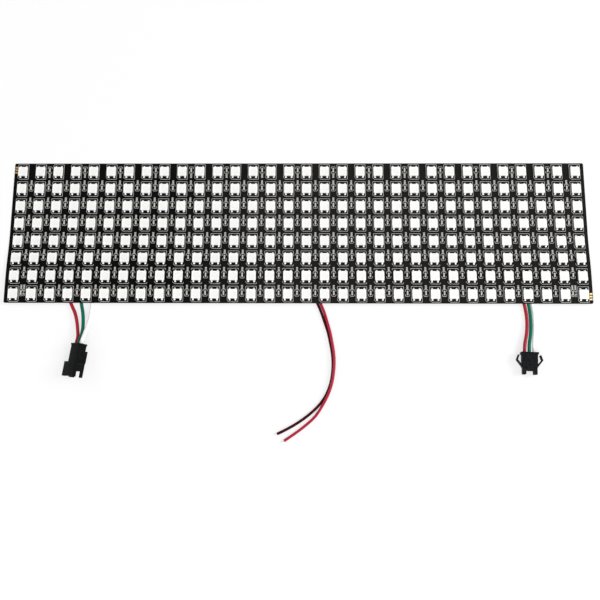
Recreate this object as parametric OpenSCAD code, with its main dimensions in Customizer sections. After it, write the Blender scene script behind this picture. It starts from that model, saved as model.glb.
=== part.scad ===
// Flexible 8-row dot-matrix panel of addressable LEDs.
// The sheet lies on its back on a table. Its lead edge is lifted just enough
// to pass over the wires that are soldered to the back, so the sheet runs flat,
// then through a shallow S-bend, then level again along that edge.
// +X runs along the rows, +Y away from the lead edge, +Z up out of the LEDs.

/* [Panel] */
// Number of LED columns
columns = 32; // [26:1:40]
// Distance from one LED's centre to the next, both ways
pitch = 10; // [9.5:0.5:12]
// Board beyond the outer columns' centres
end_margin = 5; // [5:0.5:10]
// Board beyond the outer rows' centres
side_margin = 5; // [5:0.5:10]
// Thickness of the flexible board with its solder mask
board_t = 0.3; // [0.2:0.05:0.5]
// Radius of the board's corners
corner_r = 0.8; // [0.3:0.1:2]

/* [Lie of the sheet] */
// Length of the S-bend, measured on the table
rise_run = 28; // [22:1:34]
// Level strip along the lead edge
level_strip = 12; // [12:0.5:15]
// Air between the leads and the board's back
lead_gap = 0.1; // [0.05:0.05:0.3]
// Air left between the bent rows' flat bases and the curved board
bend_clear = 0.005; // [0.005:0.005:0.03]

/* [LED package] */
// Side of the square housing
led_size = 5.0; // [4.8:0.1:5.4]
// Height of the housing's top above the board
led_height = 1.6; // [1.4:0.1:2]
// Air under the housing
led_standoff = 0.06; // [0.04:0.01:0.1]
// Diameter of the round window at the top
window_d = 4.0; // [3.6:0.1:4.2]
// Diameter of the window's floor
window_floor_d = 3.3; // [2.9:0.1:3.5]
// Depth of the window
window_depth = 0.9; // [0.7:0.1:1.1]
// Legs of the cut corner that marks the first terminal
mark_cut = 0.9; // [0.5:0.1:1.1]
// Depth of the cut corner
mark_depth = 0.4; // [0.2:0.1:0.6]
// Meniscus: how far the lens sits below the rim
lens_recess = 0.05; // [0.02:0.01:0.12]

/* [LED leads] */
// Width of a lead and of the solder on it
lead_w = 1.0; // [0.8:0.1:1.2]
// Thickness of the lead frame
lead_t = 0.2; // [0.15:0.05:0.25]
// Leads' distance from the package's middle line
lead_x = 1.6; // [1.4:0.1:1.7]
// Height to which a lead stands up the housing's wall
lead_h = 1.0; // [0.8:0.05:1.2]
// Reach of the solder from the package's centre
solder_reach = 3.6; // [3.3:0.1:3.8]
// Thickness of the solder at its toe
solder_toe = 0.15; // [0.1:0.05:0.25]
// Clearance between pieces that seat in each other
fit = 0.02; // [0.01:0.005:0.04]

/* [Inside the LED window] */
// Driver chip, along the row
chip_l = 1.0; // [0.7:0.1:1.1]
// Driver chip, across the row
chip_w = 0.8; // [0.5:0.1:0.9]
// Thickness of the driver chip
chip_t = 0.2; // [0.1:0.05:0.25]

/* [Capacitors and resistors] */
// Length of a chip component
chipc_l = 1.6; // [1.4:0.1:2]
// Width of a chip component
chipc_w = 0.8; // [0.6:0.1:1]
// Height of a chip component
chipc_h = 0.7; // [0.5:0.05:0.9]
// Length of each metal end
chipc_end = 0.35; // [0.25:0.05:0.5]
// Thickness of the metal on the ends
chipc_plate = 0.04; // [0.02:0.01:0.06]
// Length of the solder beyond each end
chipc_toe = 0.4; // [0.3:0.05:0.6]
// Distance of the components above the row's middle line
chipc_up = 0.75; // [0.5:0.05:1]
// Distance of the first row's components above its middle line
first_row_up = 1.05; // [0.8:0.05:1.2]
// Distance between the two components at the ends of the last row
twin_pitch = 1.6; // [1.5:0.1:1.8]

/* [Contact pads] */
// Length of an edge pad, along the row
pad_l = 1.5; // [1:0.1:1.6]
// Width of an edge pad
pad_w = 0.9; // [0.7:0.05:1.1]
// Distance between edge pads
pad_pitch = 1.5; // [1.4:0.1:2]
// Thickness of the plating
pad_t = 0.04; // [0.03:0.01:0.06]
// Bare board between an edge pad and the end of the board
pad_inset = 0.3; // [0.1:0.1:0.5]
// Distance of the middle pad from the outer row's middle line
pad_down = 1.1; // [0.8:0.1:1.5]
// Width of a land on the back
land_w = 2.0; // [1.6:0.1:2.1]
// Length of a land on the back
land_l = 2.6; // [2.3:0.1:2.8]

/* [Leads] */
// Distance of the two data leads' first wire from the ends of the board
lead_inset = 36.6; // [30:0.1:40]
// Distance of the power pair from the board's middle
power_x = 12; // [8:0.5:20]
// Diameter of a data lead's wire over its insulation
lead_od = 1.9; // [1.6:0.05:1.9]
// Diameter of a power wire over its insulation
power_od = 1.5; // [1.3:0.05:1.5]
// Diameter of the stranded conductor
strand_d = 0.8; // [0.6:0.05:0.9]
// Length of bare conductor in a solder joint
strand_bare = 1.8; // [1.5:0.1:2]
// Length of bare, tinned conductor at the power pair's free ends
tip_bare = 1.8; // [1.5:0.1:4]
// Solder under a conductor in its joint on the back
bead_cover = 0.25; // [0.15:0.05:0.3]

/* [Connectors] */
// Distance between contacts
contact_pitch = 2.5; // [2.5:0.1:2.7]
// Diameter of the wire holes at the back of both housings
wire_hole_d = 2.1; // [2:0.05:2.2]
// Width of the plug's nose
nose_w = 7.8; // [7.6:0.1:8]
// Thickness of the plug's nose
nose_t = 4.2; // [3.8:0.1:4.4]
// Play between the plug's nose and the socket
nose_play = 0.15; // [0.1:0.05:0.25]
// Chamfer along the housings' edges
edge_cut = 0.3; // [0.2:0.05:0.4]

/* [Plug housing] */
// Length of the plug
plug_l = 11.7; // [11.5:0.1:13]
// Width of the plug's body
plug_w = 8.4; // [8.3:0.1:9]
// Thickness of the plug's body
plug_t = 4.6; // [4.5:0.1:4.8]
// Width of the flange at the wire end
flange_w = 9.2; // [9:0.1:9.8]
// Thickness of the flange at the wire end
flange_t = 5.6; // [5.5:0.1:6]
// Length of the flange
flange_l = 1.2; // [1:0.1:1.5]
// Distance from the wire end to the root of the squeeze levers
lever_root = 7.4; // [7:0.1:7.8]
// Distance from the wire end to the levers' elbow
elbow_y = 4.1; // [3.8:0.1:4.4]
// Distance from the plug's middle to the levers' elbow
elbow_x = 6.7; // [6.5:0.1:7]
// Distance from the wire end to the levers' free end
lever_end_y = 1.5; // [1.3:0.1:1.8]
// Distance from the plug's middle to the levers' free end
lever_end_x = 5.7; // [5.6:0.1:6]
// Thickness of a lever
lever_t = 0.7; // [0.6:0.05:0.9]
// Height of a lever
lever_h = 3.0; // [2.4:0.1:3.4]
// Width of the notch in the plug's mouth
notch_w = 4.2; // [3.8:0.1:4.4]
// Depth of the notch in the plug's mouth
notch_l = 1.9; // [1.5:0.1:2.1]
// Side of the square contact windows in the plug's mouth
cell_w = 1.8; // [1.7:0.05:1.9]
// Depth of the contact windows behind the notch
cell_l = 3.0; // [2.6:0.1:3.2]
// Setback of the contact sockets behind the notch
contact_back = 0.4; // [0.2:0.1:0.6]
// Depth of the bore that takes a pin
contact_bore_l = 4.6; // [4:0.1:5]
// Width of the windows for the contacts' catches, in both housings
catch_w = 1.1; // [0.9:0.1:1.3]
// Length of the windows for the contacts' catches
catch_l = 2.2; // [1.8:0.1:2.6]

/* [Socket housing] */
// Length of the socket housing
socket_l = 17.8; // [17:0.1:19]
// Width of the socket housing behind its guards
socket_w = 8.3; // [8.2:0.1:8.8]
// Thickness of the socket housing at the wire end
rear_t = 4.7; // [4.6:0.1:5.2]
// Distance of the wire end's middle below the contacts
rear_drop = 0.4; // [0.2:0.1:0.6]
// Length of the lip around the wire end
lip_l = 1.0; // [0.6:0.1:1.4]
// Height of the lip around the wire end
lip_out = 0.2; // [0.1:0.05:0.4]
// Distance from the wire end to the step in the under face
step_y = 3.8; // [3.4:0.1:5]
// Height of the step in the under face
step_out = 1.4; // [0.8:0.1:1.5]
// Length of the lever guards, back from the mouth
guard_l = 7.7; // [7:0.1:8.5]
// Reach of a lever guard from the housing's middle
guard_x = 5.6; // [5.5:0.1:6.4]
// Thickness of the lever guards
guard_t = 6.3; // [6.2:0.1:6.8]
// Distance of the guards' middle above the contacts
guard_up = 0.15; // [0.05:0.05:0.2]
// Wall of the lever guards
guard_wall = 0.8; // [0.6:0.05:0.9]
// Width of the slot in a guard's outer wall
slot_w = 2.4; // [2:0.1:2.8]
// Length of the slots and of the opening in the mouth's under wall
slot_l = 3.3; // [3:0.1:3.8]
// Width of the opening in the mouth's under wall
opening_w = 5.4; // [4.8:0.1:6]
// Distance from the back of the guards to the floor of the socket
cavity_back = 0.1; // [0.1:0.1:1]
// Diameter of a contact pin
pin_d = 0.9; // [0.8:0.05:1]
// Setback of the pins' tips from the mouth
pin_back = 1.2; // [0.8:0.1:2]

/* [Hidden] */
$fn = 32;
rows = 8;
join = 0.01;             // overlap that lets two solids merge
past = 1;                // how far a cut runs beyond the surface it opens
board_l = (columns - 1) * pitch + 2 * end_margin;
board_w = (rows - 1) * pitch + 2 * side_margin;
edge_y = -board_w / 2;

// The sheet's rise over its leads: two equal arcs, one the other upside down.
wire_rest = 0.05;        // height of the lowest wires above the table
rise = wire_rest + max(lead_od, power_od) + lead_gap;
level_y = edge_y + level_strip;
flat_y = level_y + rise_run;
bend_a = 2 * atan(rise / rise_run);
bend_r = rise_run / 2 / sin(bend_a);
bend_steps = 20;

function arc_rise(u) = bend_r - sqrt(bend_r * bend_r - u * u);
function back_z(y) =
    y >= flat_y ? 0 :
    y <= level_y ? rise :
    y > (flat_y + level_y) / 2 ? arc_rise(flat_y - y) : rise - arc_rise(y - level_y);
// The underside of a wire's end, which hangs just under the board at its joint.
function joint_low(od) = rise - lead_gap - od;
// How far the curved board stands away from the middle of a row's flat base.
base_lift = solder_reach * solder_reach / (2 * bend_r) + bend_clear;

function slope(y) =
    y >= flat_y || y <= level_y ? 0 : asin(min(flat_y - y, y - level_y) / bend_r);
function row_y(r) = ((rows - 1) / 2 - r) * pitch;
function column_x(c) = (c - (columns - 1) / 2) * pitch;

// Inside the package.
window_z = led_height - window_depth;
window_grow = (window_d - window_floor_d) / window_depth;
chip_x = -0.4;           // the driver chip stands off the middle of the window

// Components stand between columns. The first row has one in every second gap,
// upside down, and the last row has a resistor beside its first and last ones.
function has_capacitor(r, c) = r > 0 || c % 2 == 1;
function has_twin(r, c) = r == rows - 1 && (c == 0 || c == columns - 2);
function chip_up(r) = r == 0 ? first_row_up : chipc_up;
function gap_x(r, c) = column_x(c) + pitch / 2 - (has_twin(r, c) ? twin_pitch / 2 : 0);

// Where the connectors lie: the middle of each wire end, the turn of each
// housing's length away from -Y, and the socket's roll about its own length,
// held by its three stiff wires on the edge of a guard.
wire_depth = 1.5;        // length of a wire inside its housing
wire_lead_in = 0.8;      // length of a wire that runs straight out of its housing
contacts = [-1, 0, 1];
socket_at = [6.8, -22.6];
socket_turn = -8;
socket_roll = 45;
guard_low = guard_t / 2 - guard_up;
socket_z = (guard_x - edge_cut) * sin(socket_roll) + guard_low * cos(socket_roll);
plug_at = [0.65, -26.3];
plug_turn = -2;
plug_z = flange_t / 2;

// The last two points of contact k's wire, from its group's first wire on the
// lead edge: just outside the housing, and at the contact's crimp.
function turned(v, a) = [v[0] * cos(a) - v[1] * sin(a), v[0] * sin(a) + v[1] * cos(a), v[2]];
function wire_end(at, z, turn, roll, k) =
    [for (y = [wire_lead_in, -wire_depth])
        [at[0], at[1], z - lead_od / 2]
        + turned([k * contact_pitch * cos(roll), y, k * contact_pitch * sin(roll)], turn)];
function socket_end(k) = wire_end(socket_at, socket_z, socket_turn, socket_roll, k);
function plug_end(k) = wire_end(plug_at, plug_z, plug_turn, 0, k);

// Lead groups. Each route's points are [along X from the group's first wire,
// along Y from the board's lead edge, height of the wire's underside], from the
// solder joint outwards.
input_x = -board_l / 2 + lead_inset;
output_x = board_l / 2 - lead_inset;
input_red_route = [
    [-1.8, 9, joint_low(lead_od)], [-1.4, 4.5, 0.05], [0.05, 0, 0.05], [2.6, -5.2, 0.35],
    [4.1, -9.9, 1], [5.1, -14.7, 1.9], [5.6, -18.6, 2.7], each socket_end(-1)];
input_green_route = [
    [5.4, 9, joint_low(lead_od)], [5.5, 4.5, 0.05], [5.8, 0, 0.05], [6.95, -5, 0.5],
    [7.75, -10, 1.6], [8.1, -14.6, 3.2], [7.7, -18.8, 4.4], each socket_end(0)];
input_white_route = [
    [12, 9, joint_low(lead_od)], [12, 4.5, 0.05], [11.8, 0, 0.05], [11.5, -4.9, 0.8],
    [11.1, -9.9, 2.4], [10.3, -14.6, 4.5], [9.4, -18.9, 6.1], each socket_end(1)];
output_red_route = [
    [-1.6, 9, joint_low(lead_od)], [-1.3, 4.5, 0.05], [-0.4, 0, 0.05], [0.4, -5.5, 0.15],
    [0.5, -11, 0.5], [-0.2, -16.5, 1.2], [-1.4, -21.6, 1.75], each plug_end(-1)];
output_green_route = [
    [0.8, 9, joint_low(lead_od)], [1.1, 4.5, 0.05], [1.9, 0, 0.05], [2.5, -5.5, 0.15],
    [2.55, -11, 0.5], [1.95, -16.5, 1.2], [0.95, -21.7, 1.75], each plug_end(0)];
output_white_route = [
    [3.2, 9, joint_low(lead_od)], [3.4, 4.5, 0.05], [4, 0, 0.05], [4.6, -5.5, 0.15],
    [4.6, -11, 0.5], [4, -16.5, 1.2], [3.2, -21.8, 1.75], each plug_end(1)];
power_black_route = [
    [-3.6, 9, joint_low(power_od)], [-3.4, 4.6, 0.2], [-0.8, 0, 0.05], [1.3, -5, 0.05],
    [3, -10, 0.05], [4.8, -15.5, 0.05], [6, -21, 0.05], [7, -26.5, 0.05],
    [7.4, -32, 0.05], [7.1, -37.5, 0.05], [6.1, -43, 0.05], [4, -48.5, 0.05],
    [0.9, -53.3, 0.05], [-3.3, -57.6, 0.05], [-8.3, -61.6, 0.05], [-13.6, -65, 0.05],
    [-19.4, -68.1, 0.05], [-22.1, -69.3, 0.05]];
power_red_route = [
    [-1.2, 9, joint_low(power_od)], [-1.1, 4.6, 0.2], [0.65, 0.6, 0.05], [2.75, -4.4, 0.35],
    [4.3, -9.6, 0.75], [5.9, -15.3, 1.15], [7, -20.9, 1.25], [7.9, -26.4, 1.35],
    [8.2, -32, 1.45], [7.8, -37.6, 1.45], [6.8, -43.2, 1.45], [4.8, -48.9, 1.35],
    [1.9, -54.4, 0.85], [-1.8, -60, 0.15], [-5.9, -63.9, 0.05], [-10.6, -67.6, 0.05],
    [-15.8, -71.2, 0.05], [-18.4, -72.9, 0.05]];
input_routes = [input_red_route, input_green_route, input_white_route];
output_routes = [output_red_route, output_green_route, output_white_route];
power_routes = [power_black_route, power_red_route];

// Sizes shared by the two halves of the connector.
cavity_w = nose_w + 2 * nose_play;
cavity_t = nose_t + 2 * nose_play;
cavity_y = socket_l - guard_l + cavity_back;
chamber_y = cavity_y + plug_l - lever_root - lever_t - nose_play;
contact_play = 0.1;
crimp_d = wire_hole_d - 2 * contact_play;
crimp_l = 5;
pin_bore = pin_d + contact_play;
cell_y = plug_l - notch_l - cell_l;
catch_wall = 0.4;        // left between a catch's window and the contact window

// ---- placing ----

// Places its children on the board's upper face at the middle of row r.
module on_row(r) {
    y = row_y(r);
    lift = slope(y) > 0 ? base_lift : 0;
    translate([0, y, back_z(y)])
        rotate([-slope(y), 0, 0])
            translate([0, 0, board_t + lift])
                children();
}

module on_each_led(r) {
    on_row(r)
        for (c = [0 : columns - 1])
            translate([column_x(c), 0, 0])
                children();
}

// Places its children at each capacitor, standing on the board.
module on_each_capacitor() {
    for (r = [0 : rows - 1])
        on_row(r)
            for (c = [0 : columns - 2])
                if (has_capacitor(r, c))
                    translate([gap_x(r, c), chip_up(r), 0])
                        children();
}

module on_each_resistor() {
    for (r = [0 : rows - 1])
        on_row(r)
            for (c = [0 : columns - 2])
                if (has_twin(r, c))
                    translate([gap_x(r, c) + twin_pitch, chip_up(r), 0])
                        children();
}

// A box centred on X and Z, from y0 to y1 behind the wire end along -Y,
// with chamfered long edges.
module housing_block(w, t, y0, y1) {
    a = w / 2;
    b = t / 2;
    c = edge_cut;
    translate([0, -y0, 0])
        rotate([90, 0, 0])
            linear_extrude(y1 - y0)
                polygon([[-a + c, -b], [a - c, -b], [a, -b + c], [a, b - c],
                    [a - c, b], [-a + c, b], [-a, b - c], [-a, -b + c]]);
}

// The same box with sharp edges, for cutting.
module cut_block(w, t, y0, y1) {
    translate([-w / 2, -y1, -t / 2])
        cube([w, y1 - y0, t]);
}

// A round bar or bore along -Y.
module bar(d, y0, y1) {
    translate([0, -y0, 0])
        rotate([90, 0, 0])
            cylinder(h = y1 - y0, d = d);
}

module at_contacts() {
    for (k = contacts)
        translate([k * contact_pitch, 0, 0])
            children();
}

module place_socket() {
    translate([input_x + socket_at[0], edge_y + socket_at[1], socket_z])
        rotate([0, 0, socket_turn])
            rotate([0, -socket_roll, 0])
                children();
}

module place_plug() {
    translate([output_x + plug_at[0], edge_y + plug_at[1], plug_z])
        rotate([0, 0, plug_turn])
            children();
}

// ---- board ----

function board_line(lift) = [
    for (y = concat([edge_y], [for (i = [0 : bend_steps]) level_y + i * rise_run / bend_steps],
            [-edge_y]))
        [y + lift * sin(slope(y)), back_z(y) + lift * cos(slope(y))]];

module board_section() {
    polygon(concat(board_line(0), [for (i = [bend_steps + 2 : -1 : 0]) board_line(board_t)[i]]));
}

module board_outline() {
    l = board_l / 2 - corner_r;
    w = board_w / 2 - corner_r;
    square([2 * l, board_w], center = true);
    square([board_l, 2 * w], center = true);
    for (x = [-l, l], y = [-w, w])
        translate([x, y])
            circle(corner_r);
}

module flex_board() {
    color([0.1, 0.1, 0.1])
        intersection() {
            translate([-board_l / 2, 0, 0])
                rotate([90, 0, 90])
                    linear_extrude(board_l)
                        board_section();
            translate([0, 0, -join])
                linear_extrude(rise + board_t + 2 * join)
                    board_outline();
        }
}

// ---- LED package ----

module at_leads() {
    for (turn = [0, 180])
        rotate([0, 0, turn])
            for (x = [-lead_x, lead_x])
                translate([x, 0, 0])
                    children();
}

// The window's cone between two heights, less a clearance on its diameter.
module window(less_d, z0, z1) {
    h = z1 - z0;
    d0 = window_floor_d + window_grow * (z0 - window_z) - less_d;
    translate([0, 0, z0])
        cylinder(h = h, d1 = d0, d2 = d0 + window_grow * h);
}

module led_housing() {
    half = led_size / 2;
    difference() {
        translate([-half, -half, led_standoff])
            cube([led_size, led_size, led_height - led_standoff]);
        window(0, window_z, led_height + join);
        translate([half, half, led_height - mark_depth])
            linear_extrude(mark_depth + join)
                polygon([[-mark_cut, join], [join, -mark_cut], [join, join]]);
    }
}

module led_housings(r) {
    color("white")
        on_each_led(r)
            led_housing();
}

// The driver chip on the window's floor, or the pocket for it.
module chip_block(extra) {
    translate([chip_x - chip_l / 2 - extra, -chip_w / 2 - extra, window_z - extra])
        cube([chip_l + 2 * extra, chip_w + 2 * extra, chip_t + 2 * extra]);
}

module led_lenses(r) {
    color([0.97, 0.96, 0.88])
        on_each_led(r)
            difference() {
                window(2 * fit, window_z, led_height - lens_recess);
                chip_block(fit);
            }
}

module driver_chips() {
    color([0.3, 0.3, 0.34])
        for (r = [0 : rows - 1])
            on_each_led(r)
                chip_block(0);
}

// Metal standing from y0 to y1 with solder that runs down to a toe at reach.
module soldered_end(w, y0, y1, h, reach) {
    translate([-w / 2, 0, 0])
        rotate([90, 0, 90])
            linear_extrude(w)
                polygon([[y0, 0], [reach, 0], [reach, solder_toe], [y1, h], [y0, h]]);
}

// A lead stands outside the housing's wall and is soldered to its land.
module led_leads(r) {
    wall = led_size / 2 + fit;
    color("silver")
        on_each_led(r)
            at_leads()
                soldered_end(lead_w, wall, wall + lead_t, lead_h, solder_reach);
}

// ---- chip components ----

module chip_body() {
    l = chipc_l - 2 * chipc_end - 2 * fit;
    translate([-chipc_w / 2, -l / 2, chipc_plate])
        cube([chipc_w, l, chipc_h]);
}

module capacitor_bodies() {
    color([0.72, 0.62, 0.45])
        on_each_capacitor()
            chip_body();
}

module resistor_bodies() {
    color([0.08, 0.08, 0.08])
        on_each_resistor()
            chip_body();
}

// A component's two metal ends, each with its solder.
module chip_ends() {
    half = chipc_l / 2;
    for (turn = [0, 180])
        rotate([0, 0, turn])
            soldered_end(chipc_w + 2 * chipc_plate, half - chipc_end, half,
                chipc_h + 2 * chipc_plate, half + chipc_toe);
}

module chip_component_ends() {
    color("silver") {
        on_each_capacitor()
            chip_ends();
        on_each_resistor()
            chip_ends();
    }
}

// ---- pads and lands ----

// Three pads beside the outer LED of an edge row. The input's stand at the far
// left corner, and the output's are the same turned half a turn.
module edge_pads(r, end) {
    x = end * (board_l / 2 - pad_inset - pad_l / 2);
    color([0.8, 0.62, 0.3])
        on_row(r)
            for (k = contacts)
                translate([x - pad_l / 2, end * -pad_down + k * pad_pitch - pad_w / 2, 0])
                    cube([pad_l, pad_w, pad_t]);
}

// ---- solder joints and bare conductors on the back ----

module at_joints(group_x, routes) {
    for (route = routes)
        translate([group_x + route[0][0], edge_y + route[0][1], 0])
            children();
}

module back_solder_lands() {
    color([0.8, 0.8, 0.82])
        for (group = [[input_x, input_routes], [output_x, output_routes], [power_x, power_routes]])
            at_joints(group[0], group[1])
                translate([-land_w / 2, fit, rise - pad_t])
                    cube([land_w, land_l, pad_t]);
}

// A bead of solder round a conductor's end, flat where it meets its land: a ball
// whose middle hangs half its radius under the land.
function bead_r(od) = (lead_gap - pad_t + (od + strand_d) / 2 + bead_cover) / 1.5;

module solder_bead(od) {
    r = bead_r(od);
    top = rise - pad_t;
    difference() {
        translate([0, strand_bare - r / 4, top - r / 2])
            sphere(r);
        translate([-2 * r, -r, top])
            cube(4 * r);
        translate([0, 0, joint_low(od) + od / 2])
            bar(strand_d + 2 * fit, -strand_bare - fit, past);
    }
}

module solder_joints(group_x, routes, od) {
    color([0.8, 0.8, 0.82])
        at_joints(group_x, routes)
            solder_bead(od);
}

module conductor_ends(group_x, routes, od) {
    color([0.85, 0.55, 0.35])
        at_joints(group_x, routes)
            translate([0, 0, joint_low(od) + od / 2])
                bar(strand_d, -strand_bare, -2 * fit);
}

module power_tinned_tips() {
    color("silver")
        for (route = power_routes) {
            last = route[len(route) - 1];
            run = last - route[len(route) - 2];
            translate([power_x + last[0], edge_y + last[1], last[2] + power_od / 2])
                rotate([0, 0, atan2(run[1], run[0]) + 90])
                    bar(strand_d, fit, tip_bare);
        }
}

// ---- wires ----

function unit(v) = v / norm(v);
function run_at(p, i) = unit(p[min(i + 1, len(p) - 1)] - p[max(i - 1, 0)]);
function wire_sides() = 8;
function wire_ring(p, i, r) =
    let (t = run_at(p, i), s = unit(cross(t, [0, 0, 1])), u = cross(s, t), n = wire_sides())
    [for (k = [0 : n - 1]) p[i] + r * (cos(k * 360 / n) * s + sin(k * 360 / n) * u)];

// A tube of eight sides along a route's points.
module wire(group_x, route, od, shade) {
    n = wire_sides();
    last = len(route) - 1;
    rings = [for (i = [0 : last]) each wire_ring(route, i, od / 2)];
    skin = [for (i = [0 : last - 1], k = [0 : n - 1])
        [i * n + k, i * n + (k + 1) % n, (i + 1) * n + (k + 1) % n, (i + 1) * n + k]];
    start = [[for (k = [n - 1 : -1 : 0]) k]];
    end = [[for (k = [0 : n - 1]) last * n + k]];
    color(shade)
        translate([group_x, edge_y, od / 2])
            polyhedron(rings, concat(start, skin, end));
}

// ---- connectors ----

// A window in the under face, over the bore, that ends at y1 from the wire end.
module catch_window(y1) {
    translate([0, 0, -guard_t / 2])
        cut_block(catch_w, guard_t, y1 - catch_l, y1);
}

// The socket: a box for the plug's nose with a guard for each of its levers.
module input_socket_housing() {
    guard_y = socket_l - guard_l;
    slot_y = socket_l - slot_l;
    mouth = socket_l + past;
    color([0.08, 0.08, 0.09])
        place_socket()
            difference() {
                union() {
                    translate([0, 0, -rear_drop]) {
                        housing_block(socket_w, rear_t, 0, step_y + join);
                        housing_block(socket_w + 2 * lip_out, rear_t + 2 * lip_out, 0, lip_l);
                        translate([0, 0, -step_out / 2])
                            housing_block(socket_w, rear_t + step_out, step_y, guard_y + join);
                    }
                    translate([0, 0, guard_up])
                        housing_block(2 * guard_x, guard_t, guard_y, socket_l);
                }
                cut_block(cavity_w, cavity_t, cavity_y, mouth);
                cut_block(2 * (guard_x - guard_wall), plug_t + 2 * nose_play, chamber_y, mouth);
                translate([0, 0, guard_up])
                    cut_block(2 * (guard_x + past), slot_w, slot_y, mouth);
                translate([0, 0, -guard_t / 2])
                    cut_block(opening_w, guard_t, slot_y, mouth);
                at_contacts() {
                    bar(wire_hole_d, -past, wire_depth + crimp_l + fit);
                    bar(pin_bore, past, socket_l);
                    catch_window(wire_depth + crimp_l);
                }
            }
}

module input_contact_pins() {
    color([0.85, 0.75, 0.45])
        place_socket()
            at_contacts() {
                bar(crimp_d, wire_depth + fit, wire_depth + crimp_l);
                bar(pin_d, wire_depth + crimp_l - join, socket_l - pin_back);
            }
}

// A strip of even thickness along three points, with a mitred elbow.
function across(a, b) = let (v = unit(b - a)) [-v[1], v[0]];
function strip(a, b, c, t) =
    let (m = across(a, b), n = across(b, c), e = unit(m + n), k = t / 2 / (e * m))
    [a + m * t / 2, b + e * k, c + n * t / 2, c - n * t / 2, b - e * k, a - m * t / 2];

module squeeze_lever() {
    root = [plug_w / 2 - lever_t / 2, -lever_root - lever_t / 2];
    translate([0, 0, -lever_h / 2])
        linear_extrude(lever_h)
            polygon(strip(root, [elbow_x, -elbow_y], [lever_end_x, -lever_end_y], lever_t));
}

module output_plug_housing() {
    color([0.08, 0.08, 0.09])
        place_plug()
            difference() {
                union() {
                    housing_block(flange_w, flange_t, 0, flange_l);
                    housing_block(plug_w, plug_t, flange_l - join, lever_root + lever_t);
                    housing_block(nose_w, nose_t, lever_root, plug_l);
                    squeeze_lever();
                    mirror([1, 0, 0])
                        squeeze_lever();
                }
                cut_block(notch_w, flange_t, plug_l - notch_l, plug_l + past);
                at_contacts() {
                    bar(wire_hole_d, -past, cell_y + past);
                    cut_block(cell_w, cell_w, cell_y, plug_l + past);
                    catch_window(cell_y - catch_wall);
                }
            }
}

module output_contact_sockets() {
    front = plug_l - notch_l - contact_back;
    color([0.85, 0.75, 0.45])
        place_plug()
            at_contacts()
                difference() {
                    bar(cell_w - contact_play, wire_depth + fit, front);
                    bar(pin_bore, front - contact_bore_l, plug_l);
                }
}

// ---- the pieces by name ----

for (r = [0 : rows - 1]) {
    led_housings(r);
    led_lenses(r);
    led_leads(r);
}
flex_board();
driver_chips();
capacitor_bodies();
resistor_bodies();
chip_component_ends();
edge_pads(0, -1);  // input_edge_pads
edge_pads(rows - 1, 1);  // output_edge_pads
back_solder_lands();
solder_joints(input_x, input_routes, lead_od);  // input_solder_joints
solder_joints(output_x, output_routes, lead_od);  // output_solder_joints
solder_joints(power_x, power_routes, power_od);  // power_solder_joints
conductor_ends(input_x, input_routes, lead_od);  // input_conductor_ends
conductor_ends(output_x, output_routes, lead_od);  // output_conductor_ends
conductor_ends(power_x, power_routes, power_od);  // power_conductor_ends
power_tinned_tips();
wire(input_x, input_red_route, lead_od, "crimson");  // input_wire_red
wire(input_x, input_green_route, lead_od, "seagreen");  // input_wire_green
wire(input_x, input_white_route, lead_od, "white");  // input_wire_white
wire(output_x, output_red_route, lead_od, "crimson");  // output_wire_red
wire(output_x, output_green_route, lead_od, "seagreen");  // output_wire_green
wire(output_x, output_white_route, lead_od, "white");  // output_wire_white
wire(power_x, power_black_route, power_od, "black");  // power_wire_black
wire(power_x, power_red_route, power_od, "crimson");  // power_wire_red
input_socket_housing();
input_contact_pins();
output_plug_housing();
output_contact_sockets();
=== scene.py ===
"""Looks of the flexible LED panel: detailed pieces, materials, cords, floor, light and camera.

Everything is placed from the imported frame: the board's box gives the pitch, and each row of
housings gives the plane that its LEDs stand on.
"""

import math

import bmesh
import bpy
import numpy as np
from mathutils import Matrix, Vector
from mathutils.bvhtree import BVHTree

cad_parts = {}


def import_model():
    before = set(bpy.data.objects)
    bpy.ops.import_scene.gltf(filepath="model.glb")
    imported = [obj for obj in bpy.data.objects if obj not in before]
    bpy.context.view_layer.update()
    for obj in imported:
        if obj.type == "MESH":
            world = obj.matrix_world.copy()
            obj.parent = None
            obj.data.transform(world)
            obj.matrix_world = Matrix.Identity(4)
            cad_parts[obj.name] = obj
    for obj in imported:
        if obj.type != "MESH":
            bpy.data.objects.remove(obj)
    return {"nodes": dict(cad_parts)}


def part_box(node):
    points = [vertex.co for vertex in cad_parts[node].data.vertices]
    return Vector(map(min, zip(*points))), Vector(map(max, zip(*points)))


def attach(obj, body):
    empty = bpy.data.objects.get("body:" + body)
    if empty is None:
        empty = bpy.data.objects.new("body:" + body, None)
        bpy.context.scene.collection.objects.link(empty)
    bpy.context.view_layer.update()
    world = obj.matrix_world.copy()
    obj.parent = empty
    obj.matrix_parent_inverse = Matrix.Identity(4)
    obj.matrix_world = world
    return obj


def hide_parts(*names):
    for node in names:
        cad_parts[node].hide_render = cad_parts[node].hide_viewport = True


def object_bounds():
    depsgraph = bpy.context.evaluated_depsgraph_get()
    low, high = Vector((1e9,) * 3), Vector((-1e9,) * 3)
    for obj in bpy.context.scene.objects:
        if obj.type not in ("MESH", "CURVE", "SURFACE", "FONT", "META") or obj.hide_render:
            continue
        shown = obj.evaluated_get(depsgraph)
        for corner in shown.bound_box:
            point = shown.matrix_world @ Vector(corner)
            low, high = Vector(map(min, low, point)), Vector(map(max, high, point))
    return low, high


MM = 0.001
ROWS = 8
COLUMNS = 32
SCENE = bpy.context.scene

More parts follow.
